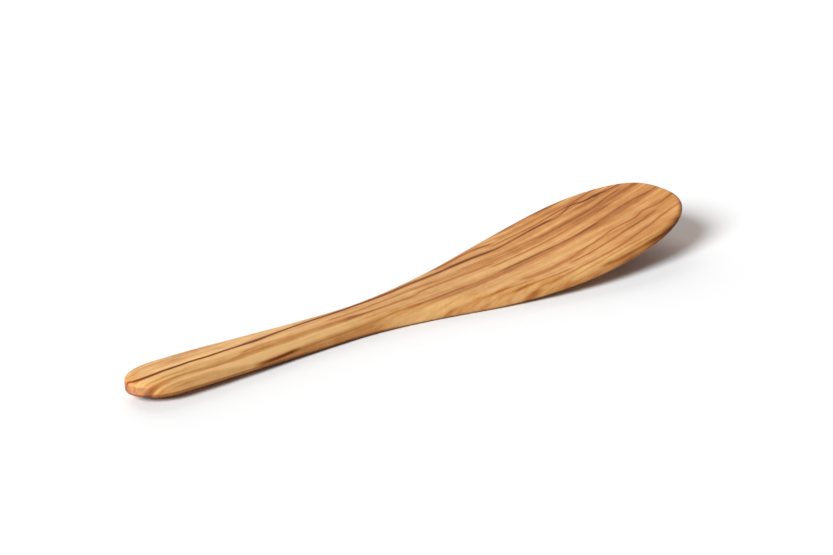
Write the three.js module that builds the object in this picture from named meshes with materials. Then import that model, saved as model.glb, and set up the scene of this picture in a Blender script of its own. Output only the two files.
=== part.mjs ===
// Wooden wok spatula, carved from a single piece of olive wood.
//
// Millimetres, +Z up. The spatula lies as it rests on a table: +X runs from the butt of the handle
// to the tip of the blade, +Y runs across the blade, and the flat underside is at Z = 0.
// The origin is under the middle of the length.

import * as THREE from 'three';

const { lerp, smoothstep } = THREE.MathUtils;

// Lengths along the spatula, each from the place named before it
const buttToGrip = 25; // fullest part of the handle
const gripToNeck = 86; // narrowest part of the handle
const neckToHeel = 64; // where the underside leaves the table
const heelToWidest = 70; // widest part of the blade
const widestToTip = 55;

// Widths across the spatula. The handle is as wide at the butt as at the grip.
const gripWidth = 24.5;
const neckWidth = 17.5;
const bladeWidth = 65;

// Thicknesses
const gripThickness = 11;
const neckThickness = 8.7;
const heelThickness = 8.4;
const bladeThickness = 6.5;
const tipThickness = 3.7;

// The sides are widest low down: height of that widest line above the underside
const gripEdge = 3.5;
const neckEdge = 1;
const heelEdge = 1.7;
const bladeEdge = 1.5;

// Above that line a side is rounded over to the top, and below it is rounded under
const gripTopFlat = 5.7; // flat strip left along the middle of the top
const neckRounding = 3; // how far in from the outline the rounding reaches
const bladeRounding = 2.2;
const gripBaseFlat = 8.5; // flat strip left along the middle of the underside
const neckUndercut = 2.4; // the same reach, underneath
const bladeUndercut = 4;

// Butt: round in plan, with a blunt upright face at the very end, standing on the widest line
const buttRoundLength = 18;
const buttFullness = 1.9; // 2 is an ellipse, less is more pointed
const buttFaceHeight = 3.7;
const buttShoulder = 1; // from the flat top's end to the handle's full width
const buttUndercut = 14; // how far in the underside's flat starts

// Tip: round in plan, and swept up from the table
const tipFullness = 2.6;
const tipLift = 21; // height of the underside at the tip
const sweepPower = 1.7; // 2 is a parabola, less starts sooner

// Facets
const buttSteps = 10;
const shankStep = 6; // greatest distance between two stations of the handle and blade
const tipSteps = 16;
const roundingSteps = 5; // from the outline to the top, and again to the underside

// Places along the spatula, measured from the butt
const gripAt = buttToGrip;
const neckAt = gripAt + gripToNeck;
const heelAt = neckAt + neckToHeel;
const widestAt = heelAt + heelToWidest;
const tipAt = widestAt + widestToTip;

// A value that eases from one place to the next
function eased(x, places, values) {
  let value = values[0];
  for (let i = 1; i < places.length; i += 1) {
    value = lerp(value, values[i], smoothstep(x, places[i - 1], places[i]));
  }
  return value;
}

// Half the width, before the ends are rounded off
function halfWidthAt(x) {
  return eased(x, [gripAt, neckAt, widestAt], [gripWidth, neckWidth, bladeWidth]) / 2;
}

function thicknessAt(x) {
  const places = [gripAt, neckAt, heelAt, widestAt, tipAt];
  return eased(x, places, [gripThickness, neckThickness, heelThickness, bladeThickness, tipThickness]);
}

// Height of the widest line above the underside
function edgeAt(x) {
  return eased(x, [gripAt, neckAt, heelAt, widestAt], [gripEdge, neckEdge, heelEdge, bladeEdge]);
}

// Height of the underside: flat from the butt to the heel, then swept up to the tip
function undersideAt(x) {
  const share = Math.max(0, x - heelAt) / (tipAt - heelAt);
  return tipLift * share ** sweepPower;
}

// How far in a side is rounded over the widest line
function roundingAt(x) {
  const gripRounding = (gripWidth - gripTopFlat) / 2;
  return eased(x, [gripAt, neckAt, widestAt], [gripRounding, neckRounding, bladeRounding]);
}

// How far in a side is rounded under the widest line
function undercutAt(x) {
  const gripUndercut = (gripWidth - gripBaseFlat) / 2;
  return eased(x, [gripAt, neckAt, widestAt], [gripUndercut, neckUndercut, bladeUndercut]);
}

// Height of the upright face, which fades out along the rounded butt
function faceAt(x) {
  return buttFaceHeight * (1 - smoothstep(x, 0, buttRoundLength));
}

// One step of a round end: how far along and how far across its outline has turned
function roundEnd(turn, fullness) {
  return { along: Math.cos(turn) ** (2 / fullness), across: Math.sin(turn) ** (2 / fullness) };
}

// Places where the outline is cut across. `across` is the share of the full half width there. `over`
// and `under` are how far along X the rounding carries the surface, above the widest line and below it.
function outlineStations() {
  const stations = [];
  const endOver = buttRoundLength - buttShoulder;
  const endUnder = Math.min(buttUndercut, endOver);
  for (let i = 0; i <= buttSteps; i += 1) {
    const { along, across } = roundEnd((Math.PI / 2) * (i / buttSteps), buttFullness);
    const x = buttRoundLength * (1 - along);
    stations.push({ x, across, over: endOver * along, under: endUnder * along });
  }
  const shankSteps = Math.ceil((widestAt - buttRoundLength) / shankStep);
  for (let i = 1; i <= shankSteps; i += 1) {
    stations.push({ x: lerp(buttRoundLength, widestAt, i / shankSteps), across: 1, over: 0, under: 0 });
  }
  for (let i = 1; i <= tipSteps; i += 1) {
    const { along, across } = roundEnd((Math.PI / 2) * (1 - i / tipSteps), tipFullness);
    const x = widestAt + widestToTip * along;
    stations.push({ x, across, over: -bladeRounding * along, under: -bladeUndercut * along });
  }
  return stations;
}

// The rounded side of one station, from the edge of the flat top, out to the widest line, and in again
// to the edge of the flat underside. `hand` is 1 for +Y and -1 for -Y.
function sidePoints(station, hand) {
  const points = [];
  const halfWidth = halfWidthAt(station.x) * station.across;
  const face = faceAt(station.x);
  for (let step = roundingSteps; step >= -roundingSteps; step -= 1) {
    const turn = (Math.PI / 2) * (step / roundingSteps);
    const inwards = 1 - Math.cos(turn);
    const above = step > 0;
    const reach = (above ? roundingAt(station.x) : undercutAt(station.x)) * station.across;
    const x = station.x + (above ? station.over : station.under) * inwards;
    const edge = edgeAt(x);
    const crown = edge + face;
    let height = edge + face / 2;
    if (above) {
      height = crown + (thicknessAt(x) - crown) * Math.sin(turn);
    } else if (step < 0) {
      height = edge + edge * Math.sin(turn);
    }
    points.push([x, hand * (halfWidth - reach * inwards), undersideAt(x) + height]);
  }
  return points;
}

// The whole skin: two rounded sides, the flat strip of the top and that of the underside
function spatulaGeometry() {
  const stations = outlineStations();
  const last = stations.length - 1;
  const pointsPerSide = 2 * roundingSteps + 1;
  const positions = [];
  const triangles = [];

  // At both ends the two sides meet in one shared column of points
  const columns = stations.map((station, i) => {
    const first = positions.length / 3;
    positions.push(...sidePoints(station, 1).flat());
    if (i === 0 || i === last) {
      return { 1: first, [-1]: first };
    }
    positions.push(...sidePoints(station, -1).flat());
    return { 1: first, [-1]: first + pointsPerSide };
  });

  function addTriangle(a, b, c) {
    if (a !== b && b !== c && c !== a) {
      triangles.push(a, b, c);
    }
  }

  function addPatch(a, b, c, d) {
    addTriangle(a, b, d);
    addTriangle(b, c, d);
  }

  for (let i = 0; i < last; i += 1) {
    const here = columns[i];
    const next = columns[i + 1];
    for (let j = 0; j < pointsPerSide - 1; j += 1) {
      addPatch(here[1] + j, next[1] + j, next[1] + j + 1, here[1] + j + 1);
      addPatch(here[-1] + j + 1, next[-1] + j + 1, next[-1] + j, here[-1] + j);
    }
    const under = pointsPerSide - 1;
    addPatch(here[-1], next[-1], next[1], here[1]);
    addPatch(here[1] + under, next[1] + under, next[-1] + under, here[-1] + under);
  }

  const geometry = new THREE.BufferGeometry();
  geometry.setAttribute('position', new THREE.Float32BufferAttribute(positions, 3));
  geometry.setIndex(triangles);
  geometry.computeVertexNormals();
  return geometry;
}

const oliveWood = new THREE.MeshStandardMaterial({ color: 0xd09c60, roughness: 0.55, metalness: 0 });

const spatula = new THREE.Mesh(spatulaGeometry(), oliveWood);
spatula.name = 'spatula';
spatula.position.x = -tipAt / 2;

const part = new THREE.Group();
part.add(spatula);

export default part;
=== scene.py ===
# %% [markdown]
# # A wok spatula carved from one piece of olive wood
# The real spatula is a single board of olive wood, sawn to its outline, carved to a slim handle and a
# thin upswept blade, sanded and oiled. A measured solid of it already exists, so the scene starts by
# loading that solid. It fixes where everything is: metres, +X from the butt to the tip, +Z up.

import math

import bpy
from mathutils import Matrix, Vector
from mathutils.bvhtree import BVHTree


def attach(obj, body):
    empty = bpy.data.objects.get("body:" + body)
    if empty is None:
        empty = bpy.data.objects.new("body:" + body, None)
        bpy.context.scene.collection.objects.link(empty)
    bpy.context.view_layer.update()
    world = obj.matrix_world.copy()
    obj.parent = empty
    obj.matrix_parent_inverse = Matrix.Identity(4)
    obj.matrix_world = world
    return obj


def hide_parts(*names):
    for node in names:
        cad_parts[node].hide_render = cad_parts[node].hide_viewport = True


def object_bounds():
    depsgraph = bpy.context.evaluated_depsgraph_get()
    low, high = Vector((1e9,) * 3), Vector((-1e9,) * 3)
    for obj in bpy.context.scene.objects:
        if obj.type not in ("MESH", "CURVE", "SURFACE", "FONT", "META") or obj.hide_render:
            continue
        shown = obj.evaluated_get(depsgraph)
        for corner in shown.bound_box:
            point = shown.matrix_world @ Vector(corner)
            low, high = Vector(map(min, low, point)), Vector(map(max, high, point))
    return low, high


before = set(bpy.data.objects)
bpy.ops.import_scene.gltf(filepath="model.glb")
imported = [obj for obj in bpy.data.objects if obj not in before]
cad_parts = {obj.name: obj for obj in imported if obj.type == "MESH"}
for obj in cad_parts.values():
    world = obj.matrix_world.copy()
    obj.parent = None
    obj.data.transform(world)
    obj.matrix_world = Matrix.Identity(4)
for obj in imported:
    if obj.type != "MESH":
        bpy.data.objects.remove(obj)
cad_low, cad_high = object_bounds()
scene = bpy.context.scene
print("solid from", [round(c, 4) for c in cad_low], "to", [round(c, 4) for c in cad_high])

# %% [markdown]
# ## The camera
# The camera stands to the left of the handle and looks down a little, through a long lens, which keeps
# the far blade from looking small. A camera is easiest to place by what it looks at: choose a point on
# the table, a direction to step back in, and a distance.

# %% Camera
view_azimuth = math.radians(-39.9)
view_elevation = math.radians(21)
view_distance = 1.377
look_at = Vector((0.0287, 0.0316, 0))
long_lens_mm = 132.93


def step_back(azimuth, elevation):
    """Direction from the object to someone who sees it from that side. Azimuth 0 looks along +Y."""
    flat = math.cos(elevation)
    return Vector((math.sin(azimuth) * flat, -math.cos(azimuth) * flat, math.sin(elevation)))


back = step_back(view_azimuth, view_elevation)
camera = bpy.data.objects.new("camera", bpy.data.cameras.new("camera"))
camera.data.lens = long_lens_mm
camera.location = look_at + back * view_distance
camera.rotation_euler = back.to_track_quat("Z", "Y").to_euler()
scene.collection.objects.link(camera)
scene.camera = camera
print("camera at", [round(c, 3) for c in camera.location])

# %% [markdown]
# ## The table
# The spatula lies on a seamless white table. One large rectangle will do, in a dull white that mirrors
# nothing. A carved spatula seldom lies quite flat: this one seems to rock on the heel of its blade, so
# that the handle hangs a hair above the table with a soft dark band under it. The spatula has to stay
# where the solid is, so the table drops away from the heel towards the butt instead, by less than half a
# degree.

# %% White table
mm = 0.001
table_half = 12.0
table_white = 0.86
table_drop = math.radians(0.45)
heel_at = 175 * mm

heel_x = cad_low.x + heel_at
slope = math.tan(table_drop)
corners = [(x * table_half, y * table_half) for x, y in ((-1, -1), (1, -1), (1, 1), (-1, 1))]
table = bpy.data.objects.new("table", bpy.data.meshes.new("table"))
table.data.from_pydata([(x, y, (x - heel_x) * slope) for x, y in corners], [], [(0, 1, 2, 3)])

dull_white = bpy.data.materials.new("table_white")
dull_white.use_nodes = True
table_shader = dull_white.node_tree.nodes["Principled BSDF"]
table_shader.inputs["Base Color"].default_value = (table_white, table_white, table_white, 1)
table_shader.inputs["Roughness"].default_value = 1
table_shader.inputs["Specular IOR Level"].default_value = 0
table.data.materials.append(dull_white)
scene.collection.objects.link(table)
print("table", 2 * table_half, "m wide")

# %% [markdown]
# ## The light
# A soft key lamp stands to the left of the butt, a third of the way up, so the lifted tip drops its
# shadow to the right. A wider, weaker lamp behind the blade fills the far side, and the studio walls add a
# little light from all round. The key is a little cool and the rest is warm, so the lit table is white and
# its shadows are warm. A sun lamp with a wide angle is the simplest soft lamp whose light doesn't fall off
# across the table. The walls are the world's colour.

# %% Soft lamps and studio walls
wall_light = 0.23
warm_white = (1, 0.9, 0.84)
cool_white = (0.91, 0.966, 1)
lamps = {
    # degrees round from +X, degrees up, width in degrees, strength, colour
    "key_lamp": (194, 32, 24, 4.65, cool_white),
    "back_lamp": (72, 30, 60, 1.45, warm_white),
}
for name, (around, upwards, wide, strength, colour) in lamps.items():
    lamp = bpy.data.objects.new(name, bpy.data.lights.new(name, "SUN"))
    lamp.data.energy = strength
    lamp.data.color = colour
    lamp.data.angle = math.radians(wide)
    lamp.rotation_euler = (math.radians(90 - upwards), 0, math.radians(around + 90))
    scene.collection.objects.link(lamp)

scene.world = bpy.data.worlds.new("studio")
scene.world.use_nodes = True
walls = scene.world.node_tree.nodes["Background"]
walls.inputs["Color"].default_value = (*warm_white, 1)
walls.inputs["Strength"].default_value = wall_light

scene.view_settings.view_transform = "Standard"
print(len(lamps), "lamps, walls", wall_light)

# %% [markdown]
# ## Arithmetic that builds nodes
# Both the shape and the wood are rules: formulas of where a point lies. Blender writes formulas as Math
# nodes, which are slow to read as code. The little class below stands for a number that runs through a
# node tree. Adding or multiplying it adds the Math node, so the formulas further down read as formulas.

# %% Numbers that run through a node tree
class Wire:
    """A number that runs through a node tree. Each sign used on it adds one Math node."""

    def __init__(self, socket):
        self.socket = socket

    def __add__(self, other):
        return reckon("ADD", self, other)

    def __radd__(self, other):
        return reckon("ADD", other, self)

    def __sub__(self, other):
        return reckon("SUBTRACT", self, other)

    def __rsub__(self, other):
        return reckon("SUBTRACT", other, self)

    def __mul__(self, other):
        return reckon("MULTIPLY", self, other)

    def __rmul__(self, other):
        return reckon("MULTIPLY", other, self)

    def __truediv__(self, other):
        return reckon("DIVIDE", self, other)

    def __rtruediv__(self, other):
        return reckon("DIVIDE", other, self)

    def __pow__(self, other):
        return reckon("POWER", self, other)


def plug(socket, value):
    """Feeds a socket: a wire is linked to it, and a plain value is set on it."""
    if isinstance(value, Wire):
        socket.id_data.links.new(value.socket, socket)
    else:
        socket.default_value = value


def reckon(operation, *values):
    """One Math node on these values, of which at least one is a wire."""
    tree = next(value.socket.id_data for value in values if isinstance(value, Wire))
    node = tree.nodes.new("ShaderNodeMath")
    node.operation = operation
    for socket, value in zip(node.inputs, values):
        plug(socket, value)
    return Wire(node.outputs[0])


print("node arithmetic ready")

# %% [markdown]
# Four more helpers add one node each: a Map Range that goes from one value to another, two that join and
# split a vector, and a Noise texture. Noise can have a fourth dimension. Another place along it is another
# noise, so it serves as a fixed seed.

# %% Ramps, vectors and noise
def ramp(value, start, end, first=0.0, last=1.0, smooth=False):
    """Goes from first to last while value goes from start to end, and stays there outside."""
    node = value.socket.id_data.nodes.new("ShaderNodeMapRange")
    node.interpolation_type = "SMOOTHSTEP" if smooth else "LINEAR"
    for socket, number in zip(node.inputs, (value, start, end, first, last)):
        plug(socket, number)
    return Wire(node.outputs[0])


def vector(tree, x, y, z):
    """Three numbers as one vector."""
    node = tree.nodes.new("ShaderNodeCombineXYZ")
    for socket, number in zip(node.inputs, (x, y, z)):
        plug(socket, number)
    return Wire(node.outputs[0])


def parts_of(tree, socket):
    """The x, y and z of a vector socket."""
    node = tree.nodes.new("ShaderNodeSeparateXYZ")
    tree.links.new(socket, node.inputs[0])
    return [Wire(output) for output in node.outputs]


def noise(tree, where, scale, seed, detail=2.0):
    """Smooth noise around 0, mostly between -0.5 and 0.5. The seed picks another noise."""
    node = tree.nodes.new("ShaderNodeTexNoise")
    node.noise_dimensions = "4D"
    plug(node.inputs["Vector"], where)
    plug(node.inputs["Scale"], scale)
    node.inputs["W"].default_value = seed
    node.inputs["Detail"].default_value = detail
    return Wire(node.outputs[0]) - 0.5


print("ramps, vectors and noise ready")

# %% [markdown]
# ## The carved shape
# The whole spatula is one skin: a plan outline, a thickness, a sweep of the underside, and a rounding of
# the edges, all of which change slowly from butt to tip. It could be box-modelled and subdivided, but a
# shape that follows such rules is a good case for Geometry Nodes: a flat grid is bent so that its columns
# run along the spatula and its rows run once around it. The sizes are the tree's inputs. Below, sizes
# holds them as plain numbers, and size holds them as wires in the tree.

# %% Sizes of the carving
length = cad_high.x - cad_low.x
blade_width = cad_high.y - cad_low.y
sizes = {
    "Butt": cad_low.x,
    "Length": length,
    "Grip at": 25 * mm,
    "Neck at": 111 * mm,
    "Heel at": heel_at,
    "Widest at": 245 * mm,
    "Grip width": 24.5 * mm,
    "Neck width": 17.5 * mm,
    "Blade width": blade_width,
    "Grip thickness": 11 * mm,
    "Neck thickness": 8.7 * mm,
    "Heel thickness": 8.4 * mm,
    "Blade thickness": 6.5 * mm,
    "Tip thickness": 3.7 * mm,
    "Grip edge height": 3.5 * mm,
    "Neck edge height": 1 * mm,
    "Heel edge height": 1.7 * mm,
    "Blade edge height": 1.5 * mm,
    "Grip rounding": 9.4 * mm,
    "Neck rounding": 3 * mm,
    "Blade rounding": 2.2 * mm,
    "Grip undercut": 8 * mm,
    "Neck undercut": 2.4 * mm,
    "Blade undercut": 4 * mm,
    "Butt round length": 18 * mm,
    "Butt rounding": 17 * mm,
    "Butt undercut": 14 * mm,
    "Butt face height": 3.7 * mm,
    "Butt fullness": 1.9,
    "Tip fullness": 2.6,
    "Tip lift": 21 * mm,
    "Sweep power": 1.7,
    "Sanding depth": 0.12 * mm,
    "Sanding size": 28 * mm,
}
carving = bpy.data.node_groups.new("spatula_skin", "GeometryNodeTree")
carving.interface.new_socket("Skin", in_out="OUTPUT", socket_type="NodeSocketGeometry")
size_inputs = {name: carving.interface.new_socket(name, in_out="INPUT", socket_type="NodeSocketFloat")
               for name in sizes}
given = carving.nodes.new("NodeGroupInput")
size = {name: Wire(given.outputs[name]) for name in sizes}
print(len(sizes), "sizes drive the shape")

# %% [markdown]
# A grid node makes the flat sheet. Its unit is one step, so a point's place on the sheet says which step
# it is: along, the steps go through the round butt, the shank and the round tip; around, they go over
# the flat top, down one rounded side, under, and up the other side.

# %% A sheet of steps
butt_steps, shank_steps, tip_steps = 44, 250, 110
shank_end = butt_steps + shank_steps
along_steps = shank_end + tip_steps
flat_steps, quarter_steps, face_steps = 26, 12, 4
around_order = ["top", "down", "face down", "in", "under", "out", "face up", "up"]
around_counts = [flat_steps, quarter_steps, face_steps, quarter_steps] * 2
around_steps = sum(around_counts)

sheet = carving.nodes.new("GeometryNodeMeshGrid")
for socket, value in zip(sheet.inputs, (along_steps, around_steps, along_steps + 1, around_steps + 1)):
    socket.default_value = value
place = carving.nodes.new("GeometryNodeInputPosition")
sheet_x, sheet_y, _ = parts_of(carving, place.outputs[0])
along_step = sheet_x + along_steps / 2
around_step = sheet_y + around_steps / 2
done = {}
first = 0
for stretch, count in zip(around_order, around_counts):
    done[stretch] = ramp(around_step, first, first + count)
    first += count
print("sheet of", along_steps, "by", around_steps, "steps")

# %% [markdown]
# Along the spatula, both ends are rounded in plan as superellipses, whose fullness sets how square they
# are. An end's outline is walked by an angle, so that its steps crowd where it turns fastest.

# %% Places along the outline
quarter = math.pi / 2


def clean_power(value, fullness):
    """A sine or cosine raised for a superellipse, kept from dipping below zero."""
    return reckon("MAXIMUM", value, 0) ** (2 / fullness)


butt_turn = ramp(along_step, 0, butt_steps, 0, quarter)
tip_turn = ramp(along_step, shank_end, along_steps, 0, quarter)
butt_along = clean_power(reckon("COSINE", butt_turn), size["Butt fullness"])
butt_across = clean_power(reckon("SINE", butt_turn), size["Butt fullness"])
tip_along = clean_power(reckon("SINE", tip_turn), size["Tip fullness"])
tip_across = clean_power(reckon("COSINE", tip_turn), size["Tip fullness"])

tip_length = size["Length"] - size["Widest at"]
shank_x = ramp(along_step, butt_steps, shank_end, size["Butt round length"], size["Widest at"])
outline_x = shank_x - size["Butt round length"] * butt_along + tip_length * tip_along
outline_share = butt_across * tip_across
over_inset = size["Butt rounding"] * butt_along - size["Blade rounding"] * tip_along
under_inset = size["Butt undercut"] * butt_along - size["Blade undercut"] * tip_along
print("outline from the butt to", round(length, 4), "m")

# %% [markdown]
# Widths, thicknesses and roundings ease from one named place to the next. A chain of Map Range nodes
# does that, each starting from what the one before it gives.

# %% What eases along the length
def eased(x, places, values):
    """Eases from value to value between the places."""
    value = values[0]
    for start, end, target in zip(places, places[1:], values[1:]):
        value = ramp(x, start, end, value, target, smooth=True)
    return value


def eased_size(x, what, stations):
    """A size that is given at some of the stations, such as the width at the grip and the neck."""
    values = [size[f"{name} {what}"] for name in stations]
    return eased(x, [place_of[name] for name in stations], values)


place_of = {"Grip": size["Grip at"], "Neck": size["Neck at"], "Heel": size["Heel at"],
            "Blade": size["Widest at"], "Tip": size["Length"]}
half_width = eased_size(outline_x, "width", ["Grip", "Neck", "Blade"]) / 2
rounding = eased_size(outline_x, "rounding", ["Grip", "Neck", "Blade"])
undercut = eased_size(outline_x, "undercut", ["Grip", "Neck", "Blade"])
butt_only = ramp(outline_x, 0.0, size["Butt round length"], 1.0, 0.0, smooth=True)
face = size["Butt face height"] * butt_only
print("sizes ease through", list(place_of))

# %% [markdown]
# The section is widest low down, as on a handle that was rounded over from the top and then eased
# underneath: a tall quarter ellipse above the widest line and a low one below it. At the very end of the
# butt, a small upright face stands between the two.

# %% The section, once around
side_turn = quarter * (1 - done["down"] - done["in"] + done["out"] + done["up"])
below = done["face down"] - done["face up"]
hand = 2 * done["top"] - 2 * done["under"] - 1
inwards = 1 - reckon("COSINE", side_turn)


def either(over, under):
    """One value over the widest line and another under it."""
    return over + (under - over) * below


skin_x = outline_x + either(over_inset, under_inset) * inwards
skin_y = hand * (half_width - either(rounding, undercut) * inwards) * outline_share

thick = eased_size(skin_x, "thickness", ["Grip", "Neck", "Heel", "Blade", "Tip"])
edge = eased_size(skin_x, "edge height", ["Grip", "Neck", "Heel", "Blade"])
sweep_share = reckon("MAXIMUM", skin_x - size["Heel at"], 0) / (size["Length"] - size["Heel at"])
sweep = size["Tip lift"] * sweep_share ** size["Sweep power"]
crown = edge + face
skin_z = sweep + either(crown, edge) + either(thick - crown, edge) * reckon("SINE", side_turn)
print("section of", len(around_order), "stretches")

# %% [markdown]
# Hand sanding leaves the surface a hair uneven, which breaks up the light as no perfect curve does. Noise
# moves the skin along its normal by up to about a tenth of a millimetre, but not where it lies on the
# table. Merging by distance closes the seam where the sheet meets itself and the two ends.

# %% Bend the sheet, close it and sand it
sanding_seed = 3.7
merge_distance = 0.004 * mm
table_clear = 2 * mm

bent = carving.nodes.new("GeometryNodeSetPosition")
closed = carving.nodes.new("GeometryNodeMergeByDistance")
sanded = carving.nodes.new("GeometryNodeSetPosition")
smooth_shaded = carving.nodes.new("GeometryNodeSetShadeSmooth")
real = carving.nodes.new("GeometryNodeRealizeInstances")
finished = carving.nodes.new("GeometryNodeSetMaterial")
result = carving.nodes.new("NodeGroupOutput")

plug(bent.inputs["Position"], vector(carving, skin_x + size["Butt"], skin_y, skin_z))
closed.inputs["Distance"].default_value = merge_distance

spot = carving.nodes.new("GeometryNodeInputPosition")
outwards = carving.nodes.new("GeometryNodeInputNormal")
push = carving.nodes.new("ShaderNodeVectorMath")
push.operation = "SCALE"
_, _, spot_z = parts_of(carving, spot.outputs[0])
unevenness = noise(carving, Wire(spot.outputs[0]), 1 / size["Sanding size"], sanding_seed)
off_table = ramp(spot_z, 0.0, table_clear, smooth=True)
carving.links.new(outwards.outputs[0], push.inputs[0])
plug(push.inputs["Scale"], 2 * size["Sanding depth"] * unevenness * off_table)
carving.links.new(push.outputs[0], sanded.inputs["Offset"])

chain = [sheet, bent, closed, sanded, smooth_shaded, real, finished, result]
for giver, taker in zip(chain, chain[1:]):
    carving.links.new(giver.outputs[0], taker.inputs[0])
print(len(carving.nodes), "nodes carve the skin")

# %% [markdown]
# ## Olive wood
# Olive wood is pale honey with brown bands and dark, wandering veins. They are layers of the tree that
# the saw has cut, so they have to run through the whole piece, round its edges and out at the butt. An
# image wrapped round the skin couldn't do that. A solid texture can: every point of the wood gets a tone
# from where it lies, in Object coordinates, and the skin shows whatever it cuts through.
# The layers here lean: further below the top face, a layer lies further towards +Y.

# %% Coordinates in the wood, in millimetres
wood = bpy.data.materials.new("olive_wood")
wood.use_nodes = True
grain = wood.node_tree
shader = grain.nodes["Principled BSDF"]
layer_lean = 0.5

coordinates = grain.nodes.new("ShaderNodeTexCoord")
object_x, object_y, object_z = parts_of(grain, coordinates.outputs["Object"])
along = (object_x - cad_low.x) / mm
across = object_y / mm
up = object_z / mm

stations = [sizes[name] / mm for name in ("Grip at", "Neck at", "Heel at", "Widest at", "Length")]
thicknesses = [sizes[name + " thickness"] / mm for name in ("Grip", "Neck", "Heel", "Blade", "Tip")]
thickness = eased(along, stations, thicknesses)
lift_share = reckon("MAXIMUM", along - heel_at / mm, 0) / ((length - heel_at) / mm)
lift = sizes["Tip lift"] / mm * lift_share ** sizes["Sweep power"]
below_top = lift + thickness - up
layer = across - layer_lean * below_top
print("layers lean", layer_lean, "mm per mm of depth")

# %% [markdown]
# The figure of the wood is made of lines and streaks. A line goes smoothly through a few points, in a
# Float Curve node. That node holds values from 0 to 1 only, so they are squeezed on the way in and drawn
# out again. A streak is noise drawn out along the grain, which drifts across the board towards the tip.

# %% Lines and streaks that follow the grain
curve_reach = 40.0
grain_drift = [(0, 0), (50, 2), (100, 6), (150, 9), (200, 15.5), (250, 18), (300, 21)]
depth_share = 0.4


def traced(points):
    """A smooth line through points, each a place along the spatula in millimetres and a value there."""
    node = grain.nodes.new("ShaderNodeFloatCurve")
    node.mapping.extend = "HORIZONTAL"
    curve = node.mapping.curves[0]
    while len(curve.points) < len(points):
        curve.points.new(0.5, 0)
    for point, (at, value) in zip(curve.points, points):
        point.location = (at * mm / length, 0.5 + value / (2 * curve_reach))
    node.mapping.update()
    plug(node.inputs["Value"], along * mm / length)
    return (Wire(node.outputs[0]) - 0.5) * (2 * curve_reach)


steady = layer - traced(grain_drift)


def streaky(fineness, stretch, seed, detail=2.0):
    """Noise with one wave in 1/fineness mm across the grain, and stretch times that along it."""
    deep = below_top * (depth_share * fineness)
    where = vector(grain, steady * fineness, along * (fineness / stretch), deep)
    return noise(grain, where, 1.0, seed, detail)


def between(first, last, fade):
    """1 from first to last along the spatula and 0 outside, with a soft fade inside both ends."""
    begins = ramp(along, first, first + fade, smooth=True)
    ends = ramp(along, last - fade, last, 1.0, 0.0, smooth=True)
    return begins * ends


print("the grain drifts", grain_drift[-1][1], "mm across on its way to the tip")

# %% [markdown]
# The tone of the wood is one number, from 0 for the palest honey to 1 for the darkest vein. It starts from
# a ground tone, palest along the handle and darkest towards the tip. At the tip it is partly the redder
# wood there and partly painted shade that offsets the stronger light on the upswept tip.

# %% Ground tone, with painted shade towards the tip
ground_places = [0, 14, 60, 112, 170, 235, 262, 292]
ground_and_tip_shade_tones = [0.24, 0.10, 0.07, 0.20, 0.23, 0.25, 0.34, 0.36]
tone = eased(along, ground_places, ground_and_tip_shade_tones)
print("ground tone from", min(ground_and_tip_shade_tones), "to", max(ground_and_tip_shade_tones))

# %% [markdown]
# Then come the veins: thin dark lines. Each goes through a few points on the top face, given in
# millimetres along and across, and the lean of the layers carries it into the depth. A line that is darker
# for part of its way is listed twice. A last place of 350 lets a vein run out at the tip.

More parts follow.
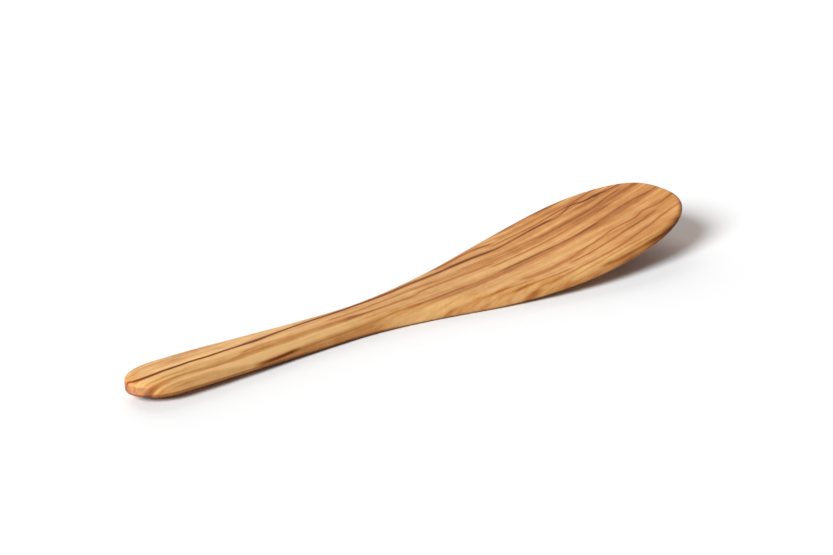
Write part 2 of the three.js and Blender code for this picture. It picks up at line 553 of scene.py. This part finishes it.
# %% Where the veins run
side_line = [(56, -14.4), (67, -13.5), (78, -12.2), (89, -11.1), (103, -10.2), (114, -9.9), (125, -9.7),
             (147, -10.5)]
second_line = [(123, -9.6), (147, -10.5), (165, -8.3), (185, -6), (207, -3.2), (230, -2), (250, -1.6),
               (268, 1.2), (284, 3.1), (290, 2.3), (298, 2.5)]
veins = [
    # half breadth, darkness, first and last place, points
    (0.60, 0.13, 60, 148, side_line),
    (0.55, 0.45, 54, 83, side_line),
    (0.80, 0.18, 138, 350, second_line),
    (0.90, 0.17, 194, 262, second_line),
    (0.80, 0.22, 186, 350, [(191, -27.2), (200, -27.3), (210, -28.1), (230, -26.8), (250, -26),
                            (260, -24.3), (270, -22.3), (286, -18.8), (298, -18)]),
    (0.65, 0.24, 166, 224, [(170, -21.5), (176, -22.8), (185, -23.4), (205, -24.8), (215, -25)]),
    (0.65, 0.22, 150, 204, [(153, -17.6), (165, -19), (185, -20.9), (195, -21.5)]),
    (0.80, 0.26, 230, 350, [(236, -15), (250, -13.2), (258, -11.6), (272, -11.1), (280, -9.2),
                            (286, -9.9), (298, -8.6)]),
    (1.70, 0.17, 194, 240, [(196, -17.7), (214, -18.9), (221, -17.5), (236, -16.1)]),
    (0.80, 0.27, 220, 286, [(223, -20.7), (250, -18.8), (262, -17.1), (276, -15.1), (290, -12.5)]),
    (0.85, 0.22, 104, 204, [(100, -5.8), (121, -4.2), (140, -2.5), (150, -1.4), (156, 0.6), (175, 3.1),
                            (195, 4.6)]),
    (0.75, 0.19, 194, 278, [(195, 1.8), (215, 3.4), (239, 4.9), (257, 6.2), (275, 8.6)]),
    (0.70, 0.20, 98, 172, [(103, -1), (118, 0), (135, 2), (150, 4), (165, 6)]),
    (0.80, 0.22, 228, 292, [(233, 9.9), (258, 11), (268, 12), (278, 14.7), (292, 16.1)]),
    (0.70, 0.13, 250, 350, [(254, 7.7), (264, 9), (276, 11.5), (290, 13.3)]),
    (0.70, 0.21, 208, 350, [(211, 19.3), (224, 20.8), (240, 21.2), (250, 22.1), (264, 23.6),
                            (278, 25.8)]),
    (0.90, 0.34, 172, 218, [(178, 17.3), (189, 19.8), (199, 22.2), (206, 22.6), (213, 22)]),
    (0.70, 0.22, 216, 264, [(219, 23.8), (239, 24.9), (257, 26.1)]),
    (0.70, 0.30, 218, 262, [(220, 28.3), (230, 29.4), (240, 29.8), (252, 30)]),
    (0.60, 0.26, 230, 292, [(225, -31.5), (235, -32.6), (245, -33.1), (263, -32.4), (276, -30.6),
                            (284, -27.6)]),
    (0.60, 0.12, 4, 62, [(5, -8.6), (40, -8.8), (55, -7.2)]),
]
print(len(veins), "veins")

# %% [markdown]
# A vein has a dark core and a soft halo of brown. It wanders a little about its line, and it is paler in
# places. Down the sides of the heel the skin runs almost along the layers, and would show a vein as a
# broad stripe, so the veins fade there.

# %% Darken the wood along the veins
vein_fade = 8.0
core_inside, core_outside = 0.25, 1.35
halo_width = 3.2
halo_share = 0.3
wander_width = 0.5
patchiness = 0.4
heel_begins, heel_ends = (142, 156), (204, 222)
heel_side_depth = (1.2, 3.0)
heel_side_fade = 0.75

wander = wander_width * streaky(0.16, 1.5, seed=11.3)
patchy = 1 + patchiness * streaky(0.10, 2.5, seed=5.9)
on_heel = ramp(along, *heel_begins, smooth=True) * ramp(along, *heel_ends, 1.0, 0.0, smooth=True)
heel_fade = 1 - on_heel * ramp(below_top, *heel_side_depth, 0.0, heel_side_fade, smooth=True)


def vein_tone(half_breadth, darkness, first, last, points):
    """How much a vein darkens the wood here."""
    distance = reckon("ABSOLUTE", layer + wander - traced(points))
    core = ramp(distance, core_inside * half_breadth, core_outside * half_breadth, 1.0, 0.0, smooth=True)
    halo = ramp(distance, 0.0, halo_width * half_breadth, halo_share, 0.0, smooth=True)
    return (core + halo) * between(first, last, vein_fade) * darkness


for vein in veins:
    tone = tone + vein_tone(*vein) * patchy * heel_fade
print("halos reach", halo_width, "half breadths")

# %% [markdown]
# One vein runs the whole length and is the darkest. It swells, thins and pales as it goes, so its half
# breadth and its darkness are lines of their own. It begins before the butt and ends past the tip, so that
# it doesn't fade at either.

# %% The main vein
before_butt, past_tip = -50, 350
main_patchiness = 0.5
main_line = [(0, -1.5), (2, -3.8), (6, -4.8), (16, -5), (28, -4.4), (36, -4.3), (50, -3), (62, -1.8),
             (83, 1.8), (96, 3.3), (120, 5.2), (140, 7.3), (155, 10.2), (175, 13.2), (195, 15.8),
             (205, 16), (213, 16.1), (222, 17.4), (232, 18.5), (244, 19), (251, 18.5), (258, 20.5),
             (264, 22.2), (270, 20.6), (277, 20.9), (283, 20), (300, 20.4)]
main_half_breadth = traced([(0, 0.7), (53, 0.75), (62, 1.0), (71, 0.75), (110, 0.75), (150, 1.05),
                            (172, 0.85), (205, 1.05), (225, 0.65), (245, 0.9), (256, 0.6), (277, 0.9),
                            (285, 0.6)])
main_darkness = traced([(0, 0.4), (4, 0.8), (45, 0.8), (61, 0.84), (80, 0.76), (110, 0.61), (150, 0.54),
                        (205, 0.57), (222, 0.36), (243, 0.5), (252, 0.3), (266, 0.42), (277, 0.55),
                        (285, 0.42), (300, 0.35)])
main_patchy = 1 + main_patchiness * streaky(0.10, 2.5, seed=6.4)
main_tone = vein_tone(main_half_breadth, main_darkness, before_butt, past_tip, main_line)
tone = tone + main_tone * main_patchy
print("main vein through", len(main_line), "points")

# %% [markdown]
# Between the veins lie broad bands with soft edges, most of them brown and some paler than the ground. A
# band is the wood between two lines, its far edge and its near edge. The far edge is the sharper one. The
# brown band low on the near side of the handle is painted shade.

# %% Bands
band_fade = 24.0
bands = [
    # darkness, softness, first and last place, far edge, near edge
    (0.27, 1.0, -30, 130,
     [(0, -10.4), (18, -10.2), (45, -9.7), (56, -6.8), (62, -5.9), (90, -4.4), (112, -2.6)],
     [(0, -12.8), (9, -12.4), (20, -11.4), (50, -11), (62, -9.7), (75, -9), (90, -7.4), (118, -5.7)]),
    (-0.11, 0.7, -30, 132,
     [(0, -12.9), (9, -12.5), (20, -11.5), (50, -11.1), (62, -9.8), (90, -7.6), (118, -6)],
     [(0, -13.2), (40, -13), (57, -13.9), (67, -13.1), (78, -11.9), (89, -10.8), (103, -10), (123, -9.5)]),
    (0.08, 2.0, -30, 84, [(0, 20), (80, 20)], [(0, 0), (40, 2), (80, 5)]),
    # painted shade: darkens the low near side of the handle, which turns away from the lamps
    (0.10, 1.0, -30, 66, [(0, -13.4), (40, -13.1), (57, -13.6)], [(0, -20), (60, -20)]),
    (0.08, 1.5, 88, 186, [(100, -3), (160, -2.5)], [(100, -7.6), (130, -8.8), (160, -8)]),
    (-0.07, 1.6, 124, 176,
     [(128, -11.5), (147, -12.6), (165, -13)],
     [(128, -13), (150, -17), (170, -18)]),
    (0.25, 1.4, 136, 310,
     [(140, -10.2), (165, -8.3), (185, -6), (207, -3.2), (230, -2), (250, -1.6), (268, 1.2), (284, 3.1),
      (298, 2.5)],
     [(140, -12.9), (164, -12.3), (185, -10), (199, -8.3), (235, -5.9), (262, -4), (280, -1.5),
      (295, 0.4)]),
    (0.20, 2.0, 146, 270,
     [(149, 5.2), (174, 7.8), (199, 11.7), (234, 12.3), (262, 12.3)],
     [(149, -0.3), (164, 1.9), (184, 4.1), (204, 5.3), (262, 7.6)]),
    (0.06, 2.0, 164, 290,
     [(170, 24), (200, 32), (300, 36)],
     [(170, 13.5), (205, 17), (250, 19.5), (280, 21.5)]),
    (0.17, 2.5, 246, 330, [(250, 16.5), (270, 19.3), (300, 18)], [(250, 7.4), (275, 8.9), (300, 11.5)]),
]


def band_tone(darkness, softness, first, last, far_edge, near_edge):
    """How much a band darkens the wood here."""
    inside_far = traced(far_edge) - layer - wander
    inside_near = layer + wander - traced(near_edge)
    from_far = ramp(inside_far, -softness / 2, softness / 2, smooth=True)
    from_near = ramp(inside_near, -softness, softness, smooth=True)
    return from_far * from_near * between(first, last, band_fade) * darkness


for band in bands:
    tone = tone + band_tone(*band)
print(len(bands), "bands")

# %% [markdown]
# Below the handle's widest line the undercut is darkened as painted shade. On the sides of the neck and
# along the rim of the blade the darkening is partly browner wood deeper in the board and partly painted
# shade on faces turned away from the lamps.

# %% Painted shade and brown wood below
shade_and_brown_fade = 16.0
shade_and_brown_zones = [
    # darkness, softness, first and last place, depth at which the darkening begins
    # painted shade: the handle's undercut, below its widest line
    (0.34, 0.25, -30, 140, [(0, 7.5), (60, 7.45), (89, 7.45), (111, 7.45), (140, 7.2)]),
    # partly browner wood, partly painted shade: the near side of the neck
    (0.15, 0.4, 50, 134, [(48, 7.6), (57, 6.7), (68, 6), (80, 5.1), (89, 4.4), (103, 3.8), (114, 3.4),
                          (125, 2.4)]),
    # partly browner wood, partly painted shade: the sides along the rim of the blade
    (0.17, 1.6, 196, 302, [(200, 4), (245, 3.2), (300, 2.2)]),
    (0.24, 0.9, 240, 330, [(240, 2.3), (262, 1.6), (282, 0.8), (300, 0.7)]),
]
for darkness, softness, first, last, points in shade_and_brown_zones:
    reached = ramp(below_top + wander - traced(points), -softness, softness, smooth=True)
    tone = tone + reached * between(first, last, shade_and_brown_fade) * darkness
print(len(shade_and_brown_zones), "deep zones")

# %% [markdown]
# Small marks come next: a knot in the main vein, flecks, and stains where a vein meets the side. Each is a
# soft oval drawn out along the grain, and a few are paler than the wood around them. The two pale ovals on
# the near rim of the blade are painted light from the white table below it.

# %% Knots, flecks, stains and painted rim light
spot_core, spot_rim = 0.2, 1.1
spots = [
    # along, across, half length, half breadth, darkness
    (277, 20.2, 3.2, 1.6, 0.45),
    (245, 18.8, 4.0, 0.9, 0.25),
    (61, -1.9, 7.0, 0.9, 0.25),
    (114.5, -3.4, 4.5, 0.9, 0.17),
    (21, 1.0, 9.0, 1.3, 0.16),
    (46, 0.0, 4.5, 1.1, 0.18),
    (67, 2.4, 7.0, 0.8, 0.16),
    (36, 4.9, 18.0, 0.9, 0.20),
    (4, -11.2, 7.0, 1.6, 0.16),
    (158, -18.6, 5.0, 0.8, 0.20),
    (164, -20.4, 8.0, 1.8, 0.11),
    (183, -25.0, 8.0, 1.8, 0.05),
    (175, -22.9, 5.0, 0.8, 0.10),
    (197, -28.3, 6.0, 1.5, 0.38),
    (187, 15.9, 12.0, 1.6, 0.10),
    (268, 17.5, 9.0, 2.2, 0.12),
    (267, -5.5, 16.0, 2.2, 0.09),
    (132, 3.6, 16.0, 1.6, -0.08),
    (226, 13.4, 30.0, 1.8, 0.13),
    (234, 0.9, 24.0, 2.4, 0.07),
    # painted light: the two paler ovals on the blade's near rim, as lit from the white table
    (257, -33.9, 10.0, 2.3, -0.26),
    (287, -22.5, 11.0, 4.5, -0.11),
]
for at_along, at_across, half_length, half_breadth, darkness in spots:
    reach_along = (along - at_along) / half_length
    reach_across = (layer + wander - at_across) / half_breadth
    reach = reckon("SQRT", reach_along * reach_along + reach_across * reach_across)
    tone = tone + ramp(reach, spot_core, spot_rim, darkness, 0.0, smooth=True)
print(len(spots), "spots")

# %% [markdown]
# Then comes what no two boards share. Soft stripes, lines and a cloudy figure are the same noise at other
# scales, drawn out along the grain. On the sides of the neck and the blade the skin runs along the layers,
# so these broad kinds are calmer there. The surface normal says what is a side.

# %% Broad stripes, lines and figure
stripes = streaky(0.20, 30, seed=21.4, detail=3)
lines = streaky(0.42, 22, seed=27.1)
figure = streaky(0.30, 2.2, seed=14.9)

upright, level = 0.2, 0.8
past_neck = (110, 140)
calming = 0.65
normal_x, _, normal_z = parts_of(grain, coordinates.outputs["Normal"])
on_side = ramp(normal_z, upright, level, calming, 0.0)
calm = 1 - on_side * ramp(along, *past_neck, smooth=True)

broad_kinds = [(0.26, stripes), (0.32, lines), (0.26, figure)]
for share, kind in broad_kinds:
    tone = tone + share * kind * calm
print(len(broad_kinds), "broad kinds of grain")

# %% [markdown]
# The fine grain shows from close by: fine lines, fibres, and flecks where the pores were cut open. A thin
# line is where a noise passes through zero, and it comes and goes. A faint ripple runs aslant of the
# grain.

# %% Fine lines, fibres, flecks and ripple
fine_lines = streaky(0.9, 60, seed=8.2, detail=3)
fibres = streaky(3.2, 40, seed=2.6)

fleck_range = (0.14, 0.3)
flecks = ramp(streaky(1.6, 14, seed=31.7, detail=1), *fleck_range)

thin_line_edge = 0.09
shown_range = (-0.12, 0.2)
from_zero = reckon("ABSOLUTE", streaky(0.45, 34, seed=33.5, detail=1))
shown = ramp(streaky(0.12, 6, seed=45.1), *shown_range)
thin_lines = ramp(from_zero, 0.0, thin_line_edge, 1.0, 0.0) * shown

ripple_fineness, ripple_length, ripple_seed = 0.5, 0.14, 52.3
aslant = vector(grain, (along - across) * ripple_fineness, (along + across) * ripple_length, 0)
ripple = noise(grain, aslant, 1.0, ripple_seed)

fine_kinds = [(0.42, fine_lines), (0.18, fibres), (0.10, flecks), (0.15, thin_lines), (0.10, ripple)]
for share, kind in fine_kinds:
    tone = tone + share * kind
print(len(fine_kinds), "fine kinds of grain")

# %% [markdown]
# Two places differ from the rest. Beyond the main vein the wood is busier. And on the upright face of the
# butt, where the knife has cut across the grain, the wood drinks more oil and darkens. That darkening is
# deepened with painted shade, since the key lamp shines straight onto that face.

# %% Busy wood, and end grain with painted shade
busy_share = 0.75
busy_range = (0.5, 5.0)
busy_lines = streaky(0.6, 14, seed=17.3, detail=3)
beyond = ramp(layer - traced(main_line), *busy_range, smooth=True)
tone = tone + busy_share * busy_lines * beyond

end_facing = (0.5, 0.72)
end_top = (6.2, 7.0)
# darker end grain, deepened as painted shade against the key lamp on the butt face
end_grain_and_shade_darkness, end_lines = 0.26, 0.8
facing_back = ramp(0 - normal_x, *end_facing, smooth=True)
end_grain = facing_back * ramp(up, *end_top, 1.0, 0.0, smooth=True)
tone = tone + end_grain * (end_grain_and_shade_darkness + end_lines * fine_lines)
print("end grain up to", end_top[1], "mm above the table")

# %% [markdown]
# A colour ramp turns the tone into colour. The stops are colours as they look on a screen, turned into
# the linear values that the shader works with. The end grain is a little pinker than its tone would make
# it, so some pink brown is mixed in there.

# %% From tone to colour
stops = [
    (0.00, (228, 180, 121)),
    (0.20, (206, 157, 100)),
    (0.40, (186, 128, 72)),
    (0.60, (162, 101, 51)),
    (0.80, (136, 77, 37)),
    (1.00, (104, 57, 28)),
]
end_grain_pink = (182, 126, 100)
pink_share = 0.38
# a Mix node lists its sockets for numbers, vectors and colours one after another
mix_share, mix_first, mix_second, mix_result = 0, 6, 7, 2


def linear(screen_colour):
    """A screen colour, 0 to 255, as the linear colour that a shader takes, by the sRGB formula."""
    shares = [channel / 255 for channel in screen_colour]
    linear_shares = [s / 12.92 if s <= 0.04045 else ((s + 0.055) / 1.055) ** 2.4 for s in shares]
    return (*linear_shares, 1)


palette = grain.nodes.new("ShaderNodeValToRGB")
while len(palette.color_ramp.elements) < len(stops):
    palette.color_ramp.elements.new(0.5)
for element, (position, colour) in zip(palette.color_ramp.elements, stops):
    element.position = position
    element.color = linear(colour)
plug(palette.inputs[0], tone)

cut_ends = grain.nodes.new("ShaderNodeMix")
cut_ends.data_type = "RGBA"
plug(cut_ends.inputs[mix_share], pink_share * end_grain)
grain.links.new(palette.outputs[0], cut_ends.inputs[mix_first])
cut_ends.inputs[mix_second].default_value = linear(end_grain_pink)
grain.links.new(cut_ends.outputs[mix_result], shader.inputs["Base Color"])
print(len(stops), "colours and the pink of the end grain")

# %% [markdown]
# Oiled wood is satin: fairly rough, with the fibres just felt. Roughness and a fine bump come from the
# same fibres as the colour.

# %% Satin surface
satin, fibre_roughness, line_roughness = 0.52, 0.2, 0.1
oil_gloss = 0.05
fibre_height = 0.02 * mm
bump_strength = 0.5
fleck_depth = 0.5

plug(shader.inputs["Roughness"], satin + fibre_roughness * fibres + line_roughness * fine_lines)
shader.inputs["Specular IOR Level"].default_value = oil_gloss

bump = grain.nodes.new("ShaderNodeBump")
bump.inputs["Strength"].default_value = bump_strength
bump.inputs["Distance"].default_value = fibre_height
plug(bump.inputs["Height"], fibres - fleck_depth * flecks)
grain.links.new(bump.outputs[0], shader.inputs["Normal"])
print(len(grain.nodes), "nodes in the wood")

# %% [markdown]
# ## Carve the piece
# The tree runs as a modifier. Its inputs are set by their identifiers, and the evaluated result is kept
# as a plain mesh, so that nothing is left to compute when the part is exported.

# %% Run the tree and keep a plain mesh
finished.inputs["Material"].default_value = wood
spatula = bpy.data.objects.new("olive_wood_spatula", bpy.data.meshes.new("blank"))
scene.collection.objects.link(spatula)
carver = spatula.modifiers.new("carving", "NODES")
carver.node_group = carving
for name, socket in size_inputs.items():
    carver[socket.identifier] = sizes[name]
evaluated = spatula.evaluated_get(bpy.context.evaluated_depsgraph_get())
spatula.data = bpy.data.meshes.new_from_object(evaluated)
spatula.data.name = "olive_wood_spatula"
spatula.modifiers.clear()
triangles = sum(len(polygon.vertices) - 2 for polygon in spatula.data.polygons)
print(len(spatula.data.vertices), "points,", triangles, "triangles")

# %% [markdown]
# The carving has to keep to the measured solid. A BVH tree finds the nearest place on a mesh quickly, so
# every point of the skin can be measured against the solid, and the largest distance is the one to watch.

# %% How closely the carving keeps to the measured solid
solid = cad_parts["spatula"].data
solid_tree = BVHTree.FromPolygons([v.co for v in solid.vertices], [f.vertices for f in solid.polygons])
farthest_off = max(solid_tree.find_nearest(v.co)[3] for v in spatula.data.vertices)
print("farthest from the solid", round(farthest_off / mm, 3), "mm")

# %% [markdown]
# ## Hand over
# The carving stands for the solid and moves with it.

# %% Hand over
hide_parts("spatula")
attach(spatula, "root")
